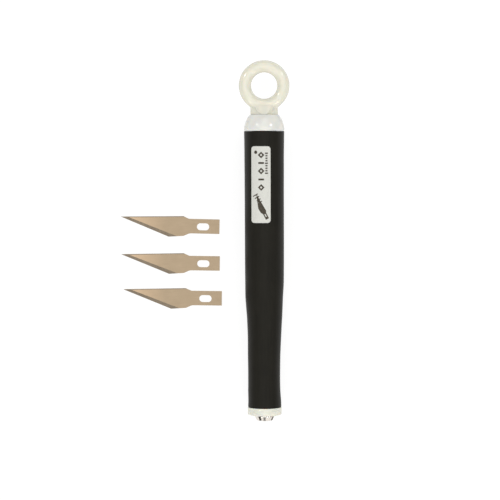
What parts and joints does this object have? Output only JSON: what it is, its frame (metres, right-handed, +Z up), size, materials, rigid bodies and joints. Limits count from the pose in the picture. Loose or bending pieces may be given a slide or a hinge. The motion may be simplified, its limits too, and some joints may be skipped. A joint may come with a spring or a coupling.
{
  "type": "ink knife",
  "caption": "Soft-grip craft knife with a turning ring at the rear that works a collet at the nose, lying beside loose pointed blades.",
  "frame": {"origin": "on the table, under the middle of the knife and its blades", "axes": "+Y along the knife's axis towards its ring, +X from the blades' points towards the knife, +Z up from the table"},
  "size_m": [0.0688, 0.146, 0.0164],
  "materials": {
    "black_rubber": "soft matt, fine grain",
    "white_plastic": "moulded, semi-gloss",
    "cream_plastic": "moulded, slightly translucent",
    "natural_nylon": "turned",
    "label_paper": "satin printed label",
    "plated_steel": "bright plated",
    "plain_steel": "turned",
    "blade_steel": "ground, oiled, warm tint",
    "brass": "turned",
    "seal_rubber": "moulded"
  },
  "bodies": {
    "handle": {"barrel": "white_plastic", "grip_sleeve": "black_rubber", "label": "label_paper", "nose_ferrule": "white_plastic", "end_cap": "white_plastic", "collet_seat": "plain_steel", "guide_bush": "brass", "key_pin": "plain_steel", "rear_bush": "natural_nylon", "thrust_washer_front": "plain_steel", "thrust_washer_rear": "plain_steel"},
    "knob": {"ring_knob": "cream_plastic", "knob_pin": "plain_steel", "drag_ring": "seal_rubber", "drive_rod": "plain_steel", "nut_pin": "plain_steel", "coupling_nut": "brass", "retaining_clip": "plain_steel"},
    "collet": {"collet": "plated_steel"},
    "blade_1": {"blade_1": "blade_steel"},
    "blade_2": {"blade_2": "blade_steel"},
    "blade_3": {"blade_3": "blade_steel"}
  },
  "joints": [
    {"name": "knob_turn", "type": "hinge", "parent": "handle", "child": "knob", "pos_m": [0.02419, 0.04813, 0.00814], "axis": [0, 1, 0], "range_deg": [-136, 586]},
    {"name": "collet_slide", "type": "slide", "parent": "handle", "child": "collet", "axis": [0, -1, 0], "range_m": [-0.0003, 0.0013]},
    {"name": "blade_1_lift", "type": "slide", "parent": "handle", "child": "blade_1", "axis": [0, 0, 1], "range_m": [0, 0.02]},
    {"name": "blade_2_lift", "type": "slide", "parent": "handle", "child": "blade_2", "axis": [0, 0, 1], "range_m": [0, 0.02]},
    {"name": "blade_3_lift", "type": "slide", "parent": "handle", "child": "blade_3", "axis": [0, 0, 1], "range_m": [0, 0.02]}
  ],
  "couplings": [
    {"joint": "knob_turn", "follows": "collet_slide", "rad_per_m": 7854}
  ]
}
